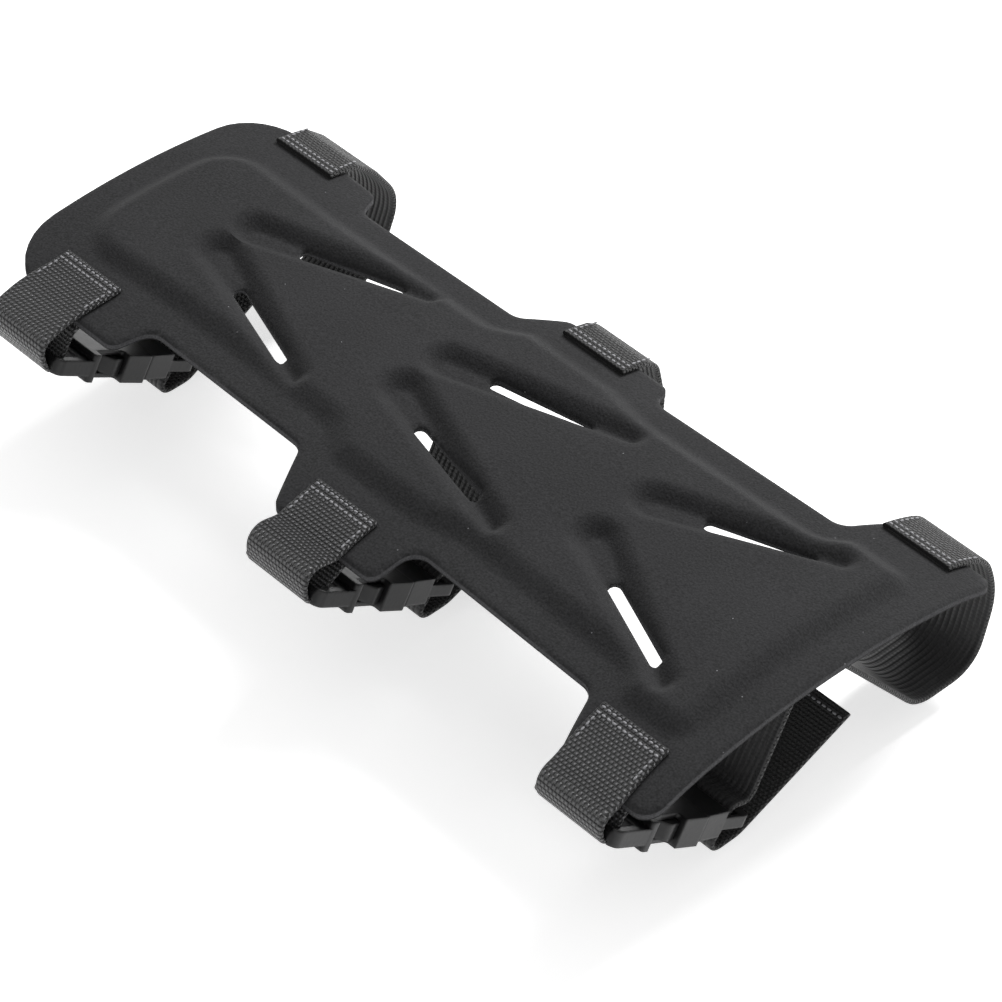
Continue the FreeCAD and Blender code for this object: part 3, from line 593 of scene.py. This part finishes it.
# %% [markdown]
# ## Stitching
#
# Each sewn end has two rows of stitches across it and a short row along each edge. A stitch is
# a bead of thread that dips into the webbing at both ends: a sphere drawn out along its row.
# All the beads of one sewn end are one array: one small bead, moved to every place at once.

# %% One bead per stitch
STITCH_LONG, STITCH_WIDE, STITCH_HIGH = 1.5, 0.75, 0.5
BEAD_ROWS, BEAD_COLS = 4, 8


def beads(name, places, along, up):
    """One bead per place: a sphere stretched to a stitch's size and turned to along and up."""
    round_it = np.linspace(0, 2 * math.pi, BEAD_COLS + 1)[:-1]
    turn, ring = np.meshgrid(round_it, np.linspace(0, math.pi, BEAD_ROWS + 2)[1:-1])
    ball = np.stack([np.cos(ring), np.sin(ring) * np.cos(turn), np.sin(ring) * np.sin(turn)], -1)
    ball = np.concatenate([[[1, 0, 0]], ball.reshape(-1, 3), [[-1, 0, 0]]])
    ball *= np.array([STITCH_LONG, STITCH_WIDE, STITCH_HIGH]) / 2
    side = np.cross(up, along)
    points = places[:, None] + ball[None, :, 0:1] * along[:, None] + ball[None, :, 1:2] * side[:, None]
    points = points + ball[None, :, 2:3] * up[:, None]
    index = 1 + np.arange(BEAD_ROWS * BEAD_COLS).reshape(BEAD_ROWS, BEAD_COLS)
    nxt = np.roll(index, -1, 1)
    belt = np.stack([index[:-1], index[1:], nxt[1:], nxt[:-1]], -1).reshape(-1, 4)
    first, last = np.full(BEAD_COLS, 0), np.full(BEAD_COLS, len(ball) - 1)
    caps = np.concatenate([np.stack([first, index[0], nxt[0]], 1), np.stack([last, nxt[-1], index[-1]], 1)])
    shift = len(ball) * np.arange(len(places))[:, None, None]
    faces = (belt + shift).reshape(-1, 4).tolist() + (caps + shift).reshape(-1, 3).tolist()
    mesh = bpy.data.meshes.new(name)
    mesh.from_pydata((points.reshape(-1, 3) * MM).tolist(), [], faces)
    mesh.polygons.foreach_set("use_smooth", np.ones(len(mesh.polygons), bool))
    piece = bpy.data.objects.new(name, mesh)
    bpy.context.scene.collection.objects.link(piece)
    return piece


print("a bead has", BEAD_ROWS * BEAD_COLS + 2, "points")

# %% Rows on a sewn end
STITCHES_ACROSS = 12
SEAM_HALF = WEB_WIDE / 2 - 1.6
FIRST_ROW, SECOND_ROW = 1.4, 3.4
ALONG_EDGE = np.arange(5.6, 12.0, 1.9)


def sewn_rows(strap, start, outward):
    """Places, directions and normals of the stitches on a sewn end.

    u is a stitch's distance off the strap's middle, v its distance from the cut end."""
    top = WEB_THICK + WEB_GAP
    x = np.linspace(-SEAM_HALF, SEAM_HALF, STITCHES_ACROSS)
    edge = np.full(len(ALONG_EDGE), SEAM_HALF)
    u = np.concatenate([x, x, -edge, edge])
    rows = np.repeat([FIRST_ROW, SECOND_ROW], STITCHES_ACROSS)
    v = np.concatenate([rows, ALONG_EDGE, ALONG_EDGE])
    y = start + outward * v
    at = np.concatenate([arch_line(value, value + 1e-6, top)[:1] for value in y])
    ahead = np.concatenate([arch_line(value + 0.2, value + 0.3, top)[:1] for value in y])
    slope = ahead - at
    slope /= np.linalg.norm(slope, axis=1, keepdims=True)
    places = np.column_stack([strap["centre"] + sway_at(strap, v, TAB_SWAY_REACH) + u, at])
    up = np.column_stack([np.zeros(len(u)), -slope[:, 1], slope[:, 0]])
    across = (v <= SECOND_ROW)[:, None]
    along = np.where(across, [1.0, 0.0, 0.0], np.column_stack([np.zeros(len(u)), slope]))
    return places, along, up


print("stitches on a sewn end", 2 * STITCHES_ACROSS + 2 * len(ALONG_EDGE))

# %% Sewing
threads = []
for where, strap in STRAPS.items():
    for side, start, outward in (("tab", -strap["tab_start"], -1), ("strap", strap["sewn_start"], 1)):
        rows = sewn_rows(strap, start, outward)
        sewing = beads(f"{where}_{side}_thread", *rows)
        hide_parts(f"{where}_{side}_stitching")
        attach(sewing, "guard")
        threads.append(sewing)
print("sewn ends", len(threads))

# %% [markdown]
# ## Tail hems
#
# The tail's cut end is turned in and held by one row of stitches. The tail is straight there,
# so its direction comes from two points of the strap's line, and the row is the same beads at
# right angles to it.

# %% Tail hems
HEM_INSET = 2.6
for where, strap in STRAPS.items():
    start = np.array(on_buckle(strap, *PLUG_STOPS[-1][:2]))
    end = np.array([strap["tail_end"], CROWN - TAIL_DEPTH])
    run = (end - start) / np.linalg.norm(end - start)
    normal = np.array([-run[1], run[0]])
    x = strap["centre"] + np.linspace(-SEAM_HALF, SEAM_HALF, STITCHES_ACROSS)
    at = end - run * HEM_INSET + normal * WEB_THICK / 2
    places = np.column_stack([x, np.tile(at, (STITCHES_ACROSS, 1))])
    along = np.tile([1.0, 0.0, 0.0], (STITCHES_ACROSS, 1))
    up = np.tile([0.0, *normal], (STITCHES_ACROSS, 1))
    hem = beads(f"{where}_hem_thread", places, along, up)
    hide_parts(f"{where}_tail_stitching")
    bend_with_plug(hem, where, strap)
    threads.append(hem)
print("thread pieces", len(threads))

# %% [markdown]
# ## Writing shader maths as Python
#
# A weave is a formula: ribs are a wave along the ribbon, yarns a wave across it. Node trees for
# such formulas are long, so a small class wraps a socket and turns +, -, * and / into Math
# nodes. Any other node comes from one method that takes its type, its settings and its inputs.

# %% Values in a material
class Wire:
    """A value in a material's node tree that Python can calculate with."""

    def __init__(self, finish, socket):
        self.finish, self.socket = finish, socket

    def math(self, operation, *values):
        return self.finish.node("ShaderNodeMath", {"operation": operation}, *values).out()

    def __add__(self, other):
        return self.math("ADD", self, other)

    def __mul__(self, other):
        return self.math("MULTIPLY", self, other)

    def __sub__(self, other):
        return self.math("SUBTRACT", self, other)

    def __rsub__(self, other):
        return self.math("SUBTRACT", other, self)

    def __truediv__(self, other):
        return self.math("DIVIDE", self, other)

    def __pow__(self, other):
        return self.math("POWER", self, other)

    __radd__, __rmul__ = __add__, __mul__

    def __rtruediv__(self, other):
        return self.math("DIVIDE", other, self)

    def sine(self):
        return self.math("SINE", self)

    def size(self):
        return self.math("ABSOLUTE", self)

    def floor(self):
        return self.math("FLOOR", self)

    def limited(self):
        return self.finish.node("ShaderNodeClamp", {}, self).out()


print("wires add, take away, multiply, divide and raise")

# %% Nodes in a material
class Step:
    """One node, whose outputs are read as wires."""

    def __init__(self, finish, node):
        self.finish, self.node = finish, node

    def out(self, name=0):
        return Wire(self.finish, self.node.outputs[name])


class Finish:
    """A material: its shader, and a method that adds any node."""

    def __init__(self, name, **constants):
        self.material = bpy.data.materials.new(name)
        self.material.use_nodes = True
        self.tree = self.material.node_tree
        self.shader = self.tree.nodes["Principled BSDF"]
        for socket, value in constants.items():
            self.shader.inputs[socket.replace("_", " ")].default_value = value

    def put(self, socket, value):
        """Set a socket's value, or link a wire to it."""
        if isinstance(value, Wire):
            self.tree.links.new(value.socket, socket)
        elif value is not None:
            socket.default_value = value

    def node(self, kind, settings, *values, **named):
        """Add a node: settings first, then inputs in order, then inputs by name."""
        node = self.tree.nodes.new(kind)
        for key, value in settings.items():
            setattr(node, key, value)
        for socket, value in zip(node.inputs, values):
            self.put(socket, value)
        for name, value in named.items():
            self.put(node.inputs[name.replace("_", " ")], value)
        return Step(self, node)

    def noise(self, scale, detail=2.0):
        """Noise between 0 and 1 at so many cells per metre."""
        return self.node("ShaderNodeTexNoise", {}, Vector=self.place(), Scale=scale, Detail=detail).out()

    def place(self):
        """Position on the piece, in metres."""
        return self.node("ShaderNodeTexCoord", {}).out("Object")

    def weave(self):
        """Distance across and along a ribbon, in metres, from its UV map."""
        uv = self.node("ShaderNodeUVMap", {"uv_map": "weave"}).out()
        parts = self.node("ShaderNodeSeparateXYZ", {}, uv)
        return parts.out("X"), parts.out("Y")

    def blend(self, factor, first, second):
        """A colour between two others."""
        mix = self.node("ShaderNodeMix", {"data_type": "RGBA"})
        self.put(mix.node.inputs[0], factor)
        self.put(mix.node.inputs[6], first)
        self.put(mix.node.inputs[7], second)
        return mix.out(2)

    def bump(self, height, distance, soft_edge=None):
        """Lead a height, 0 to 1, into the shader's normal as a bump of that many metres."""
        step = self.node("ShaderNodeBump", {}, Height=height, Distance=distance)
        if soft_edge:
            edges = self.node("ShaderNodeBevel", {"samples": 6}, soft_edge)
            self.put(step.node.inputs["Normal"], edges.out())
        self.put(self.shader.inputs["Normal"], step.out())

    def colour(self, wire):
        self.put(self.shader.inputs["Base Color"], wire)

    def roughness(self, wire):
        self.put(self.shader.inputs["Roughness"], wire)


print("nodes are added by type, settings and values")

# %% Greys
def grey(level):
    """A grey with a touch of blue, as black dyed cloth has."""
    return (level, level, level * 1.05, 1.0)


print("black cloth", grey(0.02)[:3])


# %% [markdown]
# ## Cloth and foam
#
# Everything is black, so the pieces are told apart by their surface. The face cloth is matt,
# with a fine nap that a noise of half a millimetre gives to colour and height alike, slow
# clouds over it, and a few specks of lint at the centres of large Voronoi cells. The lining is
# the same cloth, darker. The foam's cut edge shows small closed cells.

# %% Face cloth and lining
CLOUDS, PILLS, NAP, LINT = 28.0, 600.0, 1500.0, 140.0  # cells per metre
LINT_SIZE, LINT_EDGE = 0.03, 120.0


def cloth_finish(name, level, nap, specks):
    """Matt cloth: slow shading, fine nap and a few pale specks."""
    finish = Finish(name, Roughness=0.9, Sheen_Weight=0.05, Sheen_Roughness=0.6, Specular_IOR_Level=0.2)
    slow = finish.noise(CLOUDS, 3.0)
    fine = finish.noise(NAP, 3.0)
    dot = finish.node("ShaderNodeTexVoronoi", {}, Vector=finish.place(), Scale=LINT).out("Distance")
    lint = ((LINT_SIZE - dot) * LINT_EDGE).limited()
    shade = (slow - 0.5) * 0.6 + (fine - 0.5) * 2.0 + 0.5
    base = finish.blend(shade.limited(), grey(level * 0.45), grey(level * 1.6))
    finish.colour(finish.blend(lint * specks, base, grey(0.35)))
    finish.roughness(0.82 + fine * 0.16)
    finish.bump(fine * 0.7 + finish.noise(PILLS, 2.0) * 0.5, nap)
    return finish.material


face_cloth = cloth_finish("face_cloth", 0.021, 0.0003, 0.6)
lining_cloth = cloth_finish("lining_cloth", 0.014, 0.00018, 0.2)


print("cloths", face_cloth.name, lining_cloth.name)

# %% Foam
def foam_finish():
    """Cut foam: small closed cells, a little greyer than the cloth."""
    finish = Finish("foam", Roughness=0.95, Specular_IOR_Level=0.2)
    cells = finish.node("ShaderNodeTexVoronoi", {}, Vector=finish.place(), Scale=1800.0).out("Distance")
    finish.colour(finish.blend(cells, grey(0.03), grey(0.07)))
    finish.bump(cells, 0.00015)
    return finish.material


foam_cells = foam_finish()
print("foam", foam_cells.name)

# %% [markdown]
# ## Woven finishes
#
# Webbing and elastic are woven of thick yarns in short floats. The weave is worked out from the ribbon's own
# UV map, which is in metres: a wave along the ribbon gives the rows, a wave across it gives the
# yarns, and their product is the height of one float. A high power of the height paints a
# highlight on each float's top and shade between the floats, leading the colour from black to grey.

# %% Woven finishes
INNER_EDGE, CORD_PITCH = 0.0245, 0.0019


# The argument after gloss sets the painted highlight on the floats' tops, as a multiple of level.
def woven_finish(name, level, rib, yarn, depth, gloss, painted_glint, inner_cords=False):
    """Rib weave: rows of short floats, every second row shifted by half a yarn.

    The inner side of an elastic shows cords along it in place of the floats."""
    finish = Finish(name, Roughness=0.6, Sheen_Weight=0.1, Specular_IOR_Level=0.45)
    across, along = finish.weave()
    row = along / rib
    parity = (row * 0.5 - (row * 0.5).floor()) * 2.0
    shifted = across / yarn + (parity.floor() * 0.5)
    ribs = (row * math.pi).sine().size()
    yarns = (shifted * math.pi).sine().size()
    height = (ribs ** 0.8) * (yarns ** 0.8)
    if inner_cords:
        inside = ((INNER_EDGE - across) * 4000.0).limited()
        cords = (across * (math.pi / CORD_PITCH)).sine().size() * 0.85 + ribs * 0.15
        height = height + (cords - height) * inside
    fuzz = finish.noise(2600.0, 2.0)
    # Painted light: a painted highlight on each float's top and painted shade between the floats.
    shade = ((height ** 3.0) * 0.9 + fuzz * 0.25 - 0.1).limited()
    finish.colour(finish.blend(shade, grey(level * 0.15), grey(level * painted_glint)))
    finish.roughness(gloss + fuzz * 0.2)
    finish.bump(height + fuzz * 0.15, depth)
    return finish.material


# 8.0 and 3.0 set how bright the painted highlights on the floats' tops are.
webbing_weave = woven_finish("webbing", 0.015, 0.0013, 0.0015, 0.0008, 0.24, 8.0)
elastic_weave = woven_finish("elastic", 0.008, 0.0012, 0.0016, 0.0005, 0.46, 3.0, inner_cords=True)


print("weaves", webbing_weave.name, elastic_weave.name)

# %% [markdown]
# ## Thread and plastic
#
# Thread is bonded nylon, a little paler than the webbing, with a fine twist. The buckles are
# moulded acetal: smooth, satin, with handling marks that only its gloss shows. The moulding's
# edges are never sharp, so a Bevel node rounds the normal there and leaves the CAD mesh alone.

# %% Thread
def thread_finish():
    """Twisted thread: fine slanting lines."""
    finish = Finish("thread", Roughness=0.5, Specular_IOR_Level=0.5)
    twist = finish.noise(3000.0, 1.0)
    finish.colour(finish.blend(twist, grey(0.14), grey(0.36)))
    finish.bump(twist, 0.0001)
    return finish.material


thread = thread_finish()
print("thread", thread.name)


# %% Plastic
def plastic_finish():
    """Moulded acetal: black and satin, with a faint grain and handling marks."""
    finish = Finish("buckle_plastic", Specular_IOR_Level=0.38)
    grain = finish.noise(900.0, 2.0)
    marks = finish.noise(60.0, 4.0)
    finish.colour(finish.blend(marks, grey(0.005), grey(0.012)))
    finish.roughness(0.26 + grain * 0.08 + marks * 0.12)
    finish.bump(grain, 0.00004, soft_edge=0.0011)
    return finish.material


buckle_plastic = plastic_finish()
print("materials", [m.name for m in bpy.data.materials])

# %% [markdown]
# ## Dressing the pieces
#
# Each new piece takes one finish. The buckles are CAD
# pieces that stay as they are, so only their material is changed.

# %% Dress every piece
def dress(piece, material):
    """Give a piece its material."""
    piece.data.materials.clear()
    piece.data.materials.append(material)


dress(face, face_cloth)
dress(foam, foam_cells)
dress(lining, lining_cloth)
for piece in webbing:
    dress(piece, webbing_weave)
for piece in elastics:
    dress(piece, elastic_weave)
for piece in threads:
    dress(piece, thread)
for name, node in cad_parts.items():
    if name.endswith(("_socket", "_plug", "_arm")):
        node.data.materials.clear()
        node.data.materials.append(buckle_plastic)
print("dressed", len(webbing) + len(elastics) + len(threads) + 3, "new pieces")

# %% [markdown]
# ## Floor
#
# The guard lies on a plain white sheet of paper. A faint glow of its own keeps the paper white
# where the guard shades it, so that the black straps stand out against it.

# %% Floor
table_top = bpy.data.meshes.new("floor")
FLOOR_HALF = 12.0
corners = [(x * FLOOR_HALF, y * FLOOR_HALF, 0) for x, y in ((-1, -1), (1, -1), (1, 1), (-1, 1))]
table_top.from_pydata(corners, [], [(0, 1, 2, 3)])
floor = bpy.data.objects.new("floor", table_top)
floor.location.z = cad_box[0][2] - 0.0002
bpy.context.scene.collection.objects.link(floor)
paper = Finish("paper", Base_Color=(0.93, 0.93, 0.93, 1.0), Roughness=0.9, Emission_Strength=0.6)
table_top.materials.append(paper.material)
print("floor at", round(floor.location.z * 1000, 2), "mm")

# %% [markdown]
# ## Lights
#
# A large soft box high behind the guard rakes over the pads and grooves, so their shapes show
# in shading alone. A weak one at the front keeps the buckles from drowning in black, and a
# white surrounding fills the rest.

# %% Lights
world = bpy.data.worlds.new("studio")
bpy.context.scene.world = world
world.use_nodes = True
world.node_tree.nodes["Background"].inputs["Color"].default_value = (1.0, 1.0, 1.0, 1.0)
world.node_tree.nodes["Background"].inputs["Strength"].default_value = 0.45


def softbox(name, place, aim, size, power):
    """A square area light at a place, turned towards an aim."""
    lamp = bpy.data.lights.new(name, "AREA")
    lamp.shape, lamp.size, lamp.energy = "SQUARE", size, power
    holder = bpy.data.objects.new(name, lamp)
    direction = Vector(aim) - Vector(place)
    holder.matrix_world = Matrix.Translation(place) @ direction.to_track_quat("-Z", "Y").to_matrix().to_4x4()
    bpy.context.scene.collection.objects.link(holder)


softbox("key", (-0.15, 1.0, 1.15), (0, 0, 0.04), 0.8, 26)
softbox("front", (0.9, -0.9, 0.7), (0, 0, 0.03), 0.8, 1.6)
print("lights", [lamp.name for lamp in bpy.data.lights])

# %% [markdown]
# ## Camera
#
# The camera looks down on the guard from the elbow's end and the buckles' side through a long
# lens. Its place is a direction and a distance from a target, and the three axes of its turn
# are built from that direction, so it stays level.

# %% Camera
AZIMUTH, ELEVATION, DISTANCE = math.radians(47.504), math.radians(41.357), 1.3
target = Vector((0.0085, 0, RIM_TOP * MM))
back = Vector((math.sin(AZIMUTH) * math.cos(ELEVATION), -math.cos(AZIMUTH) * math.cos(ELEVATION),
               math.sin(ELEVATION)))
right = Vector((math.cos(AZIMUTH), math.sin(AZIMUTH), 0))
lens = bpy.data.cameras.new("camera")
lens.lens, lens.sensor_width = 166.5, 36.0
lens.shift_x, lens.shift_y = 0.0205, -0.0796
camera = bpy.data.objects.new("camera", lens)
turn = Matrix((right, back.cross(right), back)).transposed().to_4x4()
camera.matrix_world = Matrix.Translation(target + back * DISTANCE) @ turn
bpy.context.scene.collection.objects.link(camera)
bpy.context.scene.camera = camera
bpy.context.scene.view_settings.view_transform = "Standard"
print("camera at", [round(v, 3) for v in camera.location])

# %% [markdown]
# ## Sizes
#


print("scene built")
